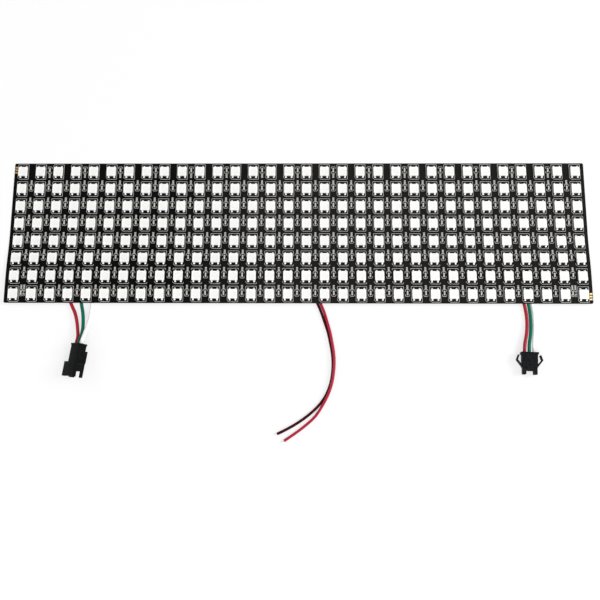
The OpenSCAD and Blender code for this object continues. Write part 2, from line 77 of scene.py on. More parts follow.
# Sizes in millimetres, as in the CAD source.
LED_STANDOFF, LED_HEIGHT = 0.06, 1.6
WINDOW_D, WINDOW_FLOOR_D, WINDOW_DEPTH = 4.0, 3.3, 0.9
MARK_CUT, MARK_DEPTH = 0.9, 0.4
LEAD_W, LEAD_T, LEAD_X, LEAD_H = 1.0, 0.2, 1.6, 1.0
CHIP_L, CHIP_W, CHIP_T, CHIP_X = 1.0, 0.8, 0.2, -0.4
CHIPC_L, CHIPC_H, CHIPC_END, CHIPC_TOE = 1.6, 0.7, 0.35, 0.4
CHIPC_UP, FIRST_ROW_UP, TWIN_PITCH = 0.75, 1.05, 1.6
LEAD_INSET, LEAD_OD = 36.6, 1.9
POWER_X, POWER_OD, STRAND_D, TIP_BARE = 12, 1.5, 0.8, 1.8
WIRE_REST = 0.05
FIT = 0.02

# Sizes in millimetres that only the scene has. The solder ends a little short of the CAD's.
SOLDER_REACH, SOLDER_H = 3.48, 0.92
HOUSING_ROUND, LEAD_BEND = 0.16, 0.16
DIE_YS, DIE_HALF, DIE_T, DIE_X = (-0.6, 0.0, 0.6), 0.17, 0.12, 0.82
OUTLINE_W, BRACKET_W, MARK_W = 0.2, 0.22, 0.56

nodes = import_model()["nodes"]
cad_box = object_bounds()


# ---- shared helpers ----


def vector_mm(x, y, z):
    """A point given in millimetres, in metres."""
    return Vector((x, y, z)) * MM


def add_mesh(name, parts, smooth_angle=35):
    """One object from [(vertices in mm, faces, material)], riding on the panel."""
    mesh = bpy.data.meshes.new(name)
    vertices, faces, indices, materials = [], [], [], []
    offset = 0
    for points, polygons, material in parts:
        if material not in materials:
            materials.append(material)
        vertices.append(np.asarray(points, float) * MM)
        faces += [tuple(i + offset for i in face) for face in polygons]
        indices += [materials.index(material)] * len(polygons)
        offset += len(points)
    mesh.from_pydata(np.vstack(vertices).tolist(), [], faces)
    for material in materials:
        mesh.materials.append(material)
    mesh.polygons.foreach_set("material_index", indices)
    mesh.polygons.foreach_set("use_smooth", [True] * len(faces))
    mesh.set_sharp_from_angle(angle=math.radians(smooth_angle))
    mesh.update()
    piece = bpy.data.objects.new(name, mesh)
    SCENE.collection.objects.link(piece)
    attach(piece, "root")
    return piece


def stamped(template, places):
    """The template's (vertices, faces) repeated at each 4x4 place, in millimetres."""
    points, polygons = template
    points = np.asarray(points, float)
    all_points, all_faces = [], []
    for k, place in enumerate(places):
        matrix = np.array(place)
        all_points.append(points @ matrix[:3, :3].T + matrix[:3, 3])
        shift = k * len(points)
        all_faces += [tuple(i + shift for i in face) for face in polygons]
    return np.vstack(all_points), all_faces


def joined(*templates):
    """Several templates as one."""
    points, faces, shift = [], [], 0
    for some_points, some_faces in templates:
        points.append(np.asarray(some_points, float))
        faces += [tuple(i + shift for i in face) for face in some_faces]
        shift += len(some_points)
    return np.vstack(points), faces


def moved(template, matrix):
    """A template turned and shifted by a 4x4 matrix."""
    return stamped(template, [matrix])


def shift_by(x, y, z):
    return Matrix.Translation((x, y, z))


def turn_z(degrees):
    return Matrix.Rotation(math.radians(degrees), 4, "Z")


def loft(rings, cap_start=True, cap_end=True):
    """A closed skin through rings of equally many points."""
    count = len(rings[0])
    points = [p for ring in rings for p in ring]
    faces = []
    for a in range(len(rings) - 1):
        for k in range(count):
            n = (k + 1) % count
            faces.append((a * count + k, a * count + n, (a + 1) * count + n, (a + 1) * count + k))
    if cap_start:
        faces.append(tuple(range(count - 1, -1, -1)))
    if cap_end:
        faces.append(tuple((len(rings) - 1) * count + k for k in range(count)))
    return points, faces


def rounded_box(low, high, radius, segments=2):
    """A box with rounded edges between two corners."""
    bm = bmesh.new()
    bmesh.ops.create_cube(bm, size=1)
    low, high = np.array(low, float), np.array(high, float)
    for vertex in bm.verts:
        vertex.co = Vector((low + high) / 2 + np.array(vertex.co) * (high - low))
    bmesh.ops.bevel(
        bm, geom=bm.edges[:], offset=radius, segments=segments, profile=0.5, affect="EDGES"
    )
    bm.verts.index_update()
    points = [tuple(v.co) for v in bm.verts]
    faces = [tuple(v.index for v in f.verts) for f in bm.faces]
    bm.free()
    return points, faces


# ---- where things stand on the sheet ----

board_low, board_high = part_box("flex_board")
BOARD_L = (board_high[0] - board_low[0]) / MM
PITCH = BOARD_L / COLUMNS
LED_SIZE = (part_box("led_housings_row_1")[1][0] * 2 / MM) - (COLUMNS - 1) * PITCH
EDGE_Y = board_low[1] / MM
INPUT_X = -BOARD_L / 2 + LEAD_INSET
OUTPUT_X = BOARD_L / 2 - LEAD_INSET


def row_frame(row):
    """The plane that a row's LEDs stand on, as a matrix in millimetres."""
    node = nodes[f"led_housings_row_{row + 1}"]
    normal = Vector((0, 0, 0))
    for polygon in node.data.polygons:
        if polygon.normal.z > 0.9:
            normal += polygon.normal * polygon.area
    slope = math.atan2(normal.y, normal.z)
    low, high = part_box(node.name)
    middle = Vector((0, (low[1] + high[1]) / 2, (low[2] + high[2]) / 2)) / MM
    turn = Matrix.Rotation(-slope, 4, "X")
    down = turn @ Vector((0, 0, -(LED_STANDOFF + LED_HEIGHT) / 2))
    return Matrix.Translation(middle + down) @ turn


ROW_FRAMES = [row_frame(row) for row in range(ROWS)]


def column_x(column):
    return (column - (COLUMNS - 1) / 2) * PITCH


def led_places(row):
    return [ROW_FRAMES[row] @ shift_by(column_x(c), 0, 0) for c in range(COLUMNS)]


def has_capacitor(row, column):
    return row > 0 or column % 2 == 1


def has_twin(row, column):
    return row == ROWS - 1 and column in (0, COLUMNS - 2)


def gap_places(resistors=False):
    """Where the chip components stand: (row, place, whether it has a twin beside it)."""
    found = []
    for row in range(ROWS):
        for column in range(COLUMNS - 1):
            twin = has_twin(row, column)
            if not has_capacitor(row, column) or (resistors and not twin):
                continue
            x = column_x(column) + PITCH / 2
            if twin:
                x += TWIN_PITCH / 2 if resistors else -TWIN_PITCH / 2
            up = FIRST_ROW_UP if row == 0 else CHIPC_UP
            found.append((row, ROW_FRAMES[row] @ shift_by(x, up, 0), twin))
    return found


# ---- materials ----


class Shader:
    """A Principled material whose colour, roughness and bump come from procedural nodes."""

    def __init__(self, name, color, roughness, **sockets):
        self.material = bpy.data.materials.new(name)
        self.material.use_nodes = True
        self.tree = self.material.node_tree
        self.surface = self.tree.nodes["Principled BSDF"]
        self.color = (*color, 1)
        self.roughness = roughness
        self.surface.inputs["Base Color"].default_value = self.color
        self.surface.inputs["Roughness"].default_value = roughness
        for socket, value in sockets.items():
            self.surface.inputs[socket.replace("_", " ")].default_value = value
        self.where = self.tree.nodes.new("ShaderNodeTexCoord").outputs["Object"]
        self.normal = None

    def node(self, kind, **settings):
        node = self.tree.nodes.new(kind)
        for name, value in settings.items():
            setattr(node, name, value)
        return node

    def link(self, source, target):
        self.tree.links.new(source, target)

    def noise(self, size_mm, detail=3.0):
        """Noise whose grains measure about size_mm."""
        scale = self.node("ShaderNodeMapping")
        scale.inputs["Scale"].default_value = [1 / (size_mm * MM)] * 3
        self.link(self.where, scale.inputs["Vector"])
        noise = self.node("ShaderNodeTexNoise")
        noise.inputs["Scale"].default_value = 1
        noise.inputs["Detail"].default_value = detail
        self.link(scale.outputs["Vector"], noise.inputs["Vector"])
        return noise.outputs["Fac"]

    def across(self, axis, start_mm, end_mm):
        """A smooth share from 0 to 1 between two places along an axis of the object."""
        parts = self.node("ShaderNodeSeparateXYZ")
        self.link(self.where, parts.inputs[0])
        share = self.node("ShaderNodeMapRange", interpolation_type="SMOOTHSTEP")
        share.inputs["From Min"].default_value = start_mm * MM
        share.inputs["From Max"].default_value = end_mm * MM
        self.link(parts.outputs[axis], share.inputs["Value"])
        return share.outputs["Result"]

    def blend(self, first, second, share):
        """Two factors mixed, with that share of the second."""
        mix = self.node("ShaderNodeMix")
        mix.inputs["Factor"].default_value = share
        self.link(first, mix.inputs["A"])
        self.link(second, mix.inputs["B"])
        return mix.outputs["Result"]

    def ramp(self, factor, stops):
        ramp = self.node("ShaderNodeValToRGB")
        elements = ramp.color_ramp.elements
        while len(elements) < len(stops):
            elements.new(0.5)
        for element, (position, color) in zip(elements, stops):
            element.position = position
            element.color = color
        self.link(factor, ramp.inputs["Fac"])
        return ramp.outputs["Color"]

    def vary_color(self, factor, low, high):
        """Colour from low to high times the base colour over a factor's middle range."""
        stops = [
            (at, (*(min(1, c * gain) for c in self.color[:3]), 1))
            for at, gain in ((0.35, low), (0.65, high))
        ]
        self.link(self.ramp(factor, stops), self.surface.inputs["Base Color"])
        return self

    def vary_roughness(self, factor, low, high):
        spread = self.node("ShaderNodeMapRange")
        spread.inputs["From Min"].default_value = 0.3
        spread.inputs["From Max"].default_value = 0.7
        spread.inputs["To Min"].default_value = low
        spread.inputs["To Max"].default_value = high
        self.link(factor, spread.inputs["Value"])
        self.link(spread.outputs["Result"], self.surface.inputs["Roughness"])
        return self

    def bump(self, factor, height_mm, strength=1.0):
        bump = self.node("ShaderNodeBump")
        bump.inputs["Strength"].default_value = strength
        bump.inputs["Distance"].default_value = height_mm * MM
        self.link(factor, bump.inputs["Height"])
        if self.normal:
            self.link(self.normal, bump.inputs["Normal"])
        self.normal = bump.outputs["Normal"]
        self.link(self.normal, self.surface.inputs["Normal"])
        return self


def board_material():
    shader = Shader("solder_mask_painted_sheen", (0.0038, 0.0036, 0.0031), 0.45, Specular_IOR_Level=0.05)
    # Painted sheen: the solder mask's colour runs from about 0.2 to 2.7 times its base from left
    # to right along X, which is light painted into the colour. The 26 mm noise mixed in is random
    # tone.
    painted_sheen_share = shader.across("X", -150, 60)
    shader.vary_color(shader.blend(painted_sheen_share, shader.noise(26, 2), 0.3), 0.2, 2.7)
    shader.vary_roughness(shader.noise(3.5), 0.38, 0.52)
    return shader.bump(shader.noise(0.35, 4), 0.006).bump(shader.noise(40, 1), 0.25, 0.35).material


def print_material():
    shader = Shader("white_legend_ink", (0.54, 0.54, 0.51), 0.6)
    shader.vary_color(shader.noise(0.5, 4), 0.82, 1.08)
    return shader.bump(shader.noise(0.08), 0.004).material


def housing_material():
    shader = Shader("reflector_moulding", (0.955, 0.955, 0.94), 0.38)
    shader.vary_color(shader.noise(4), 0.985, 1.0)
    shader.vary_roughness(shader.noise(1.1), 0.33, 0.45)
    return shader.bump(shader.noise(0.12, 4), 0.002).material


def lens_material():
    shader = Shader(
        "encapsulant", (0.95, 0.945, 0.91), 0.2, IOR=1.45, Transmission_Weight=0.08,
    )
    shader.vary_color(shader.noise(2.2), 0.985, 1.0)
    return shader.bump(shader.noise(1.6, 1), 0.01).material


def metal_material(name, color, roughness, grain_mm, metallic=1.0):
    shader = Shader(name, color, roughness, Metallic=metallic)
    shader.vary_color(shader.noise(grain_mm * 4), 0.9, 1.06)
    shader.vary_roughness(shader.noise(grain_mm), roughness - 0.08, roughness + 0.1)
    return shader.bump(shader.noise(grain_mm * 0.6), 0.004).material


def plastic_material(name, color, roughness, grain_mm, depth_mm):
    shader = Shader(name, color, roughness, Specular_IOR_Level=0.5)
    shader.vary_color(shader.noise(grain_mm * 12), 0.9, 1.1)
    shader.vary_roughness(shader.noise(grain_mm * 5), roughness - 0.06, roughness + 0.08)
    return shader.bump(shader.noise(grain_mm, 4), depth_mm).material


def nylon_material(name, color, specular):
    """The connectors' dull moulding, whose colour varies more than other plastic's."""
    grain_mm, roughness = 0.09, 0.45
    shader = Shader(name, color, roughness, Specular_IOR_Level=specular)
    shader.vary_color(shader.noise(grain_mm * 12), 0.6, 1.5)
    shader.vary_roughness(shader.noise(grain_mm * 5), roughness - 0.06, roughness + 0.08)
    return shader.bump(shader.noise(grain_mm, 4), 0.006).material


def wire_material(name, color, specular=0.25):
    shader = Shader(name, color, 0.32, Specular_IOR_Level=specular)
    shader.vary_color(shader.noise(5), 0.93, 1.05)
    shader.vary_roughness(shader.noise(0.8, 2), 0.26, 0.38)
    return shader.bump(shader.noise(1.2, 2), 0.02).material


BOARD = board_material()
PRINT = print_material()
HOUSING = housing_material()
LENS = lens_material()
LEAD = metal_material("plated_lead", (0.95, 0.95, 0.94), 0.42, 0.15, 0.2)
SOLDER = metal_material("tin_solder", (0.95, 0.95, 0.94), 0.45, 0.22, 0.15)
TERMINAL = metal_material("tinned_terminal", (0.62, 0.62, 0.6), 0.45, 0.12, 0.2)
SILICON = plastic_material("driver_silicon", (0.14, 0.14, 0.17), 0.2, 0.05, 0.001)
DIE = metal_material("emitter_die", (0.62, 0.55, 0.4), 0.25, 0.05, 0.5)
CERAMIC = plastic_material("fired_ceramic", (0.5, 0.45, 0.39), 0.42, 0.06, 0.003)
GLAZE = plastic_material("resistor_glaze", (0.03, 0.03, 0.03), 0.25, 0.06, 0.002)
GOLD = metal_material("gold_plating", (0.86, 0.67, 0.32), 0.36, 0.12)
# Painted shade: the same gold plating as GOLD, made darker, for the input edge pads.
SHADED_GOLD = metal_material("gold_plating_painted_shade", (0.42, 0.27, 0.12), 0.45, 0.12)
COPPER = metal_material("stranded_copper", (0.83, 0.5, 0.32), 0.32, 0.06)
RED = wire_material("red_insulation", (0.36, 0.005, 0.018))
GREEN = wire_material("green_insulation", (0.0015, 0.13, 0.082), 0.12)
WHITE = wire_material("white_insulation", (0.96, 0.96, 0.95))
BLACK = wire_material("black_insulation", (0.045, 0.002, 0.005), 0.06)
POWER_RED = wire_material("power_red_insulation", (0.41, 0.007, 0.036))
NYLON = nylon_material("black_nylon", (0.0042, 0.0046, 0.005), 0.035)
# Painted light: the same black nylon as NYLON, made lighter, for the plug.
LIGHTER_PAINTED_NYLON = nylon_material("black_nylon_painted_light", (0.0085, 0.009, 0.0098), 0.045)
BRASS = metal_material("plated_brass", (0.84, 0.72, 0.42), 0.28, 0.1)


def dress_nodes():
    """Gives each CAD node the first material whose words are in its name, or the board's."""
    choices = [
        # The input edge pads get the darker copy of the gold, which is painted shade.
        ("input_edge_pads", SHADED_GOLD), ("output_edge_pads", GOLD), ("solder", SOLDER),
        ("tinned", SOLDER), ("conductor", COPPER), ("contact", BRASS), ("socket_housing", NYLON),
        ("plug_housing", NYLON), ("driver_chips", SILICON), ("", BOARD),
    ]
    for name, node in nodes.items():
        material = next(material for words, material in choices if words in name)
        for slot in node.material_slots:
            slot.material = material


# ---- LED packages ----


def square_ring(half, corner, z, cut=0.0):
    """A rounded square's outline. Its corner at +x +y may be cut off, with as many points."""
    ring = []
    sides = (-0.6, -0.4, -0.2, 0.0, 0.2, 0.4, 0.6)
    for quarter in range(4):
        turn = Matrix.Rotation(math.radians(90 * quarter), 2)
        points = [Vector((half, s * half)) for s in sides]
        centre = half - corner
        for step in range(5):
            if quarter == 0 and cut > corner:
                share = step / 4
                points.append(Vector((half - cut * share, half - cut * (1 - share))))
            else:
                a = math.radians(90 * step / 4)
                x, y = centre + corner * math.cos(a), centre + corner * math.sin(a)
                points.append(Vector((x, y)))
        ring += [(*(turn @ p), z) for p in points]
    return ring


def round_ring(radius, z, like):
    """A circle with one point in the direction of each point of another ring."""
    ring = []
    for x, y, _ in like:
        a = math.atan2(y, x)
        ring.append((radius * math.cos(a), radius * math.sin(a), z))
    return ring


def housing_template():
    """The white reflector housing, with rounded rims, a cut corner and the window's cone."""
    half = LED_SIZE / 2
    top = LED_HEIGHT
    step = top - MARK_DEPTH
    floor = top - WINDOW_DEPTH
    corner = HOUSING_ROUND
    guide = square_ring(half, corner, 0)
    rings = [
        square_ring(half - 0.08, 0.12, LED_STANDOFF),
        square_ring(half, corner, LED_STANDOFF + 0.08),
        square_ring(half, corner, step - 0.02),
        square_ring(half, corner, step, MARK_CUT),
        square_ring(half, corner, top - 0.1, MARK_CUT),
        square_ring(half - 0.03, corner, top - 0.03, MARK_CUT),
        square_ring(half - 0.1, corner, top, MARK_CUT),
        round_ring(WINDOW_D / 2 + 0.05, top, guide),
        round_ring(WINDOW_D / 2 - 0.01, top - 0.04, guide),
        round_ring(WINDOW_FLOOR_D / 2, floor, guide),
    ]
    return loft(rings)


def lens_template():
    """The encapsulant, with the slight meniscus it sets with."""
    count = 40
    floor = LED_HEIGHT - WINDOW_DEPTH
    grow = (WINDOW_D - WINDOW_FLOOR_D) / 2 / WINDOW_DEPTH
    wall = WINDOW_FLOOR_D / 2 - FIT
    levels = [
        (wall + grow * 0.01, floor + 0.01),
        (wall + grow * (0.85 - 0.01), floor + 0.84),
        (wall + grow * 0.85 - 0.06, floor + 0.85),
        (1.5, floor + 0.82),
        (0.9, floor + 0.8),
    ]
    rings = []
    for radius, z in levels:
        angles = [2 * math.pi * k / count for k in range(count)]
        rings.append([(radius * math.cos(a), radius * math.sin(a), z) for a in angles])
    return loft(rings)


def lead_template():
    """A lead frame's end: it bends out of the housing and down the wall, with rounded corners."""
    wall = LED_SIZE / 2 + FIT
    outer = wall + LEAD_T
    profile = [(wall, 0.02), (outer, 0.02), (outer, LEAD_H - LEAD_BEND)]
    for step in range(1, 5):
        a = math.radians(22.5 * step)
        profile.append((
            outer - LEAD_BEND * (1 - math.cos(a)),
            LEAD_H - LEAD_BEND * (1 - math.sin(a)),
        ))
    profile.append((wall, LEAD_H))
    rings = []
    middle = (wall + LEAD_T / 2, LEAD_H / 2)
    for x, inset in ((-0.5, 0.03), (-0.46, 0), (0.46, 0), (0.5, 0.03)):
        ring = []
        for y, z in profile:
            y += math.copysign(inset, middle[0] - y)
            z += math.copysign(inset, middle[1] - z)
            ring.append((x * LEAD_W, y, z))
        rings.append(ring)
    points, faces = loft(rings)
    return points, [tuple(reversed(face)) for face in faces]


def fillet_template(width, y0, y1, height):
    """Solder that wetted a metal face at y0 and runs down in a hollow curve to its land's end."""
    lines, cells = 7, 6
    toe, foot = 0.06, 0.015
    points, faces = [], []
    for i in range(lines):
        t = i / (lines - 1)
        y = y0 + (y1 - y0) * t
        ridge = toe + (height - toe) * (1 - t) ** 2.2
        narrow = math.sqrt(max(0.0, 1 - max(0.0, (t - 0.5) / 0.5) ** 2 * 0.55))
        half = width / 2 * narrow
        for j in range(cells + 1):
            s = 2 * j / cells - 1
            edge = max(0.0, 1 - s ** 4) ** 0.5
            z = foot + (ridge - foot) * edge * (1 if i < lines - 1 else 0)
            points.append((half * s, y, z))
    across = cells + 1
    for i in range(lines - 1):
        for j in range(cells):
            a = i * across + j
            faces.append((a, a + 1, a + across + 1, a + across))
    base = len(points)
    rim = list(range(across))
    rim += [i * across + cells for i in range(1, lines)]
    rim += [(lines - 1) * across + j for j in range(cells - 1, -1, -1)]
    rim += [i * across for i in range(lines - 2, 0, -1)]
    points += [(points[k][0], points[k][1], 0.0) for k in rim]
    for k in range(len(rim)):
        n = (k + 1) % len(rim)
        faces.append((rim[n], rim[k], base + k, base + n))
    faces.append(tuple(base + k for k in range(len(rim) - 1, -1, -1)))
    return points, [tuple(reversed(face)) for face in faces]


def lead_places(row):
    found = []
    for place in led_places(row):
        for turn in (0, 180):
            for x in (-LEAD_X, LEAD_X):
                found.append(place @ turn_z(turn) @ shift_by(x, 0, 0))
    return found


def build_leds():
    housing, lens, lead = housing_template(), lens_template(), lead_template()
    solder = fillet_template(LEAD_W, LED_SIZE / 2 + FIT + LEAD_T, SOLDER_REACH, SOLDER_H)
    for row in range(ROWS):
        number = row + 1
        places = led_places(row)
        bodies = add_mesh(
            f"led_bodies_row_{number}", [(*stamped(housing, places), HOUSING)], 50
        )
        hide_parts(f"led_housings_row_{number}")
        lenses = add_mesh(
            f"led_windows_row_{number}", [(*stamped(lens, places), LENS)], 50
        )
        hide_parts(f"led_lenses_row_{number}")
        feet = lead_places(row)
        leads = add_mesh(
            f"led_feet_row_{number}",
            [(*stamped(lead, feet), LEAD), (*stamped(solder, feet), SOLDER)],
            40,
        )
        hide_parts(f"led_leads_row_{number}")


def build_dies():
    """The driver chip and the three light-emitting dies on each window's floor."""
    floor = LED_HEIGHT - WINDOW_DEPTH
    chip = rounded_box(
        (CHIP_X - CHIP_L / 2, -CHIP_W / 2, floor),
        (CHIP_X + CHIP_L / 2, CHIP_W / 2, floor + CHIP_T),
        0.02,
        1,
    )
    dies = joined(*[
        rounded_box(
            (DIE_X - DIE_HALF, y - DIE_HALF, floor),
            (DIE_X + DIE_HALF, y + DIE_HALF, floor + DIE_T),
            0.02,
            1,
        )
        for y in DIE_YS
    ])
    places = [place for row in range(ROWS) for place in led_places(row)]
    chips = add_mesh("driver_chip_blocks", [(*stamped(chip, places), SILICON)], 40)
    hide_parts("driver_chips")
    add_mesh("light_dies", [(*stamped(dies, places), DIE)], 40)


# ---- chip components ----


def build_chip_components():
    body_half = CHIPC_L / 2 - CHIPC_END - 0.01
    half = CHIPC_L / 2
    body = rounded_box((-0.39, -body_half, 0.05), (0.39, body_half, CHIPC_H + 0.02), 0.04)
    cap = rounded_box((-0.42, half - CHIPC_END, 0.02), (0.42, half, CHIPC_H + 0.06), 0.07)
    toe = fillet_template(0.86, half - 0.01, half + CHIPC_TOE, 0.5)
    end = joined(cap, toe)
    ends = joined(end, moved(end, turn_z(180)))
    capacitors = [place for _, place, _ in gap_places()]
    resistors = [place for _, place, _ in gap_places(resistors=True)]
    bodies = add_mesh(
        "capacitor_blocks", [(*stamped(body, capacitors), CERAMIC)], 40
    )
    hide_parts("capacitor_bodies")
    blocks = add_mesh("resistor_blocks", [(*stamped(body, resistors), GLAZE)], 40)
    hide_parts("resistor_bodies")
    metal = add_mesh(
        "chip_component_terminals",
        [(*stamped(ends, capacitors + resistors), TERMINAL)],
        40,
    )
    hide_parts("chip_component_ends")


# ---- printed legend ----


def board_tree():
    mesh = nodes["flex_board"].data
    return BVHTree.FromPolygons(
        [v.co[:] for v in mesh.vertices], [p.vertices[:] for p in mesh.polygons]
    )


BOARD_TREE = board_tree()


def on_board(x, y):
    """The height of the board's upper face in millimetres."""
    hit = BOARD_TREE.ray_cast(Vector((x * MM, y * MM, 0.1)), Vector((0, 0, -1)))
    return hit[0].z / MM


def strip_edges(points, width, closed):
    """The inner and outer edges of a printed line of even width along plan points."""
    count = len(points)
    inner, outer = [], []
    for k in range(count):
        here = Vector(points[k])
        back = Vector(points[(k - 1) % count if closed else max(k - 1, 0)])
        ahead = Vector(points[(k + 1) % count if closed else min(k + 1, count - 1)])
        run = (ahead - back).normalized()
        side = Vector((-run.y, run.x)) * width / 2
        inner.append(here + side)
        outer.append(here - side)
    return inner, outer


def add_strip(points, faces, line, width, closed, shift):
    """Adds a thin printed line that follows the board, with a shallow edge on both sides."""
    base = len(points)
    count = len(line)
    for side in strip_edges([(x + shift[0], y + shift[1]) for x, y in line], width, closed):
        for p in side:
            height = on_board(p.x, p.y)
            points.append((p.x, p.y, height + 0.015))
            points.append((p.x, p.y, height - 0.01))
    for k in range(count if closed else count - 1):
        n = (k + 1) % count
        it, ib, nt, nb = base + 2 * k, base + 2 * k + 1, base + 2 * n, base + 2 * n + 1
        ot, ob = it + 2 * count, ib + 2 * count
        pt, pb = nt + 2 * count, nb + 2 * count
        faces.append((it, ot, pt, nt))
        faces.append((ib, it, nt, nb))
        faces.append((ot, ob, pb, pt))
        faces.append((ob, ib, nb, pb))
    if not closed:
        last = base + 2 * (count - 1)
        faces.append((base, base + 1, base + 2 * count + 1, base + 2 * count))
        faces.append((last + 1, last, last + 2 * count, last + 2 * count + 1))


def led_outline():
    """The outline printed round each LED: rounded, with one corner cut off."""
    left, right, low, high = -2.95, 2.93, -4.3, 4.34
    corner, cut = 0.35, 1.0
    line = [(left, low + cut), (left + cut, low)]
    for cx, cy, start in (
        (right - corner, low + corner, -90),
        (right - corner, high - corner, 0),
        (left + corner, high - corner, 90),
    ):
        for step in range(4):
            a = math.radians(start + 30 * step)
            line.append((cx + corner * math.cos(a), cy + corner * math.sin(a)))
    return line


def half_ring(side, width, low, high):
    """The two arcs on one side of a chip component's printed bracket, open at mid height."""
    arcs = []
    middle = (low + high) / 2
    reach, round_x, round_y = 0.76, 0.5, 0.7
    for y_end, sign in ((high, 1), (low, -1)):
        arc = [(side * width / 2, middle + sign * reach)]
        for step in range(5):
            a = math.radians(22.5 * step)
            arc.append((
                side * (width / 2 - round_x + round_x * math.cos(a)),
                y_end - sign * (round_y - round_y * math.sin(a)),
            ))
        arc.append((0, y_end))
        arcs.append(arc)
    return arcs


def build_legend():
    points, faces = [], []
    outline = led_outline()
    for row in range(ROWS):
        y = ROW_FRAMES[row].translation.y
        for column in range(COLUMNS):
            add_strip(points, faces, outline, OUTLINE_W, True, (column_x(column), y))
    for row, place, twin in gap_places() + gap_places(resistors=True):
        x = place.translation.x
        y = ROW_FRAMES[row].translation.y
        flip = -1 if row == 0 else 1
        middle = place.translation.y
        width = 1.5 if twin else 2.3
        for side in (-1, 1):
            for arc in half_ring(side, width, -1.9, 1.9):
                add_strip(points, faces, arc, BRACKET_W, False, (x, middle))
        start = 3.15 if row else 1.55
        for k in range(3):
            height = flip * (start + 0.78 * k)
            add_strip(points, faces, [(-0.5, height), (0.5, height)], MARK_W, False, (x, y))
    add_mesh("printed_legend", [(points, faces, PRINT)], 30)


# ---- cords ----

# Each wire's route: across from its group's middle, out from the board's edge, and the height of
# its underside, in millimetres.
INPUT_ROUTES = {
    "red": [
        (-1.8, 9, 0.05), (-1.4, 4.5, 0.05), (0.05, 0, 0.05), (2.6, -5.2, 0.35),
        (4.1, -9.9, 1), (5.1, -14.7, 1.9), (5.6, -18.6, 2.7), (5.16, -21.56, 3.15),
        (4.84, -23.84, 3.15),
    ],
    "green": [
        (5.4, 9, 0.05), (5.5, 4.5, 0.05), (5.8, 0, 0.05), (6.95, -5, 0.5),
        (7.75, -10, 1.6), (8.1, -14.6, 3.2), (7.7, -18.8, 4.4), (6.91, -21.81, 4.92),
        (6.59, -24.09, 4.92),
    ],
    "white": [
        (12, 9, 0.05), (12, 4.5, 0.05), (11.8, 0, 0.05), (11.5, -4.9, 0.8),
        (11.1, -9.9, 2.4), (10.3, -14.6, 4.5), (9.4, -18.9, 6.1), (8.66, -22.05, 6.69),
        (8.34, -24.33, 6.69),
    ],
}
OUTPUT_ROUTES = {
    "red": [
        (-1.6, 9, 0.05), (-1.3, 4.5, 0.05), (-0.4, 0, 0.05), (0.4, -5.5, 0.15),
        (0.5, -11, 0.5), (-0.2, -16.5, 1.2), (-1.4, -21.6, 1.75), (-1.82, -25.41, 1.85),
        (-1.9, -27.71, 1.85),
    ],
    "green": [
        (0.8, 9, 0.05), (1.1, 4.5, 0.05), (1.9, 0, 0.05), (2.5, -5.5, 0.15),
        (2.55, -11, 0.5), (1.95, -16.5, 1.2), (0.95, -21.7, 1.75), (0.68, -25.5, 1.85),
        (0.6, -27.8, 1.85),
    ],
    "white": [
        (3.2, 9, 0.05), (3.4, 4.5, 0.05), (4, 0, 0.05), (4.6, -5.5, 0.15),
        (4.6, -11, 0.5), (4, -16.5, 1.2), (3.2, -21.8, 1.75), (3.18, -25.59, 1.85),
        (3.1, -27.89, 1.85),
    ],
}
POWER_ROUTES = {
    "black": [
        (-3.6, 9, 0.45), (-3.4, 4.6, 0.2), (-0.8, 0, 0.05), (1.3, -5, 0.05),
        (3, -10, 0.05), (4.8, -15.5, 0.05), (6, -21, 0.05), (7, -26.5, 0.05),
        (7.4, -32, 0.05), (7.1, -37.5, 0.05), (6.1, -43, 0.05), (4, -48.5, 0.05),
        (0.9, -53.3, 0.05), (-3.3, -57.6, 0.05), (-8.3, -61.6, 0.05), (-13.6, -65, 0.05),
        (-19.4, -68.1, 0.05), (-22.1, -69.3, 0.05),
    ],
    "red": [
        (-1.2, 9, 0.45), (-1.1, 4.6, 0.2), (0.65, 0.6, 0.05), (2.75, -4.4, 0.35),
        (4.3, -9.6, 0.75), (5.9, -15.3, 1.15), (7, -20.9, 1.25), (7.9, -26.4, 1.35),
        (8.2, -32, 1.45), (7.8, -37.6, 1.45), (6.8, -43.2, 1.45), (4.8, -48.9, 1.35),
        (1.9, -54.4, 0.85), (-1.8, -60, 0.15), (-5.9, -63.9, 0.05), (-10.6, -67.6, 0.05),
        (-15.8, -71.2, 0.05), (-18.4, -72.9, 0.05),
    ],
}
DATA_SHADES = {"red": RED, "green": GREEN, "white": WHITE}
POWER_SHADES = {"black": BLACK, "red": POWER_RED}


def smooth_route(route, between):
    """Points of one smooth curve through a route's points, with some more between each two."""
    points = [Vector(p) for p in route]
    line = []
    for k in range(len(points) - 1):
        a = points[max(k - 1, 0)]
        b, c = points[k], points[k + 1]
        d = points[min(k + 2, len(points) - 1)]
        for step in range(between + 1):
            t = step / (between + 1)
            line.append(
                0.5 * ((2 * b) + (c - a) * t + (2 * a - 5 * b + 4 * c - d) * t ** 2
                       + (3 * b - a - 3 * c + d) * t ** 3)
            )
    return line + [points[-1]]


def add_wire(name, route, group_x, od, material, between):
    line = [
        vector_mm(group_x + p.x, EDGE_Y + p.y, max(p.z, WIRE_REST) + od / 2)
        for p in smooth_route(route, between)
    ]
    curve = bpy.data.curves.new(name + "_curve", "CURVE")
    curve.dimensions = "3D"
    curve.bevel_depth = od / 2 * MM
    curve.bevel_resolution = 5
    curve.use_fill_caps = True
    spline = curve.splines.new("POLY")
    spline.points.add(len(line) - 1)
    for point, place in zip(spline.points, line):
        point.co = (*place, 1)
    spline.use_smooth = True
    curve.materials.append(material)
    piece = bpy.data.objects.new(name + "_cord", curve)
    SCENE.collection.objects.link(piece)
    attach(piece, "root")
    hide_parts(name)


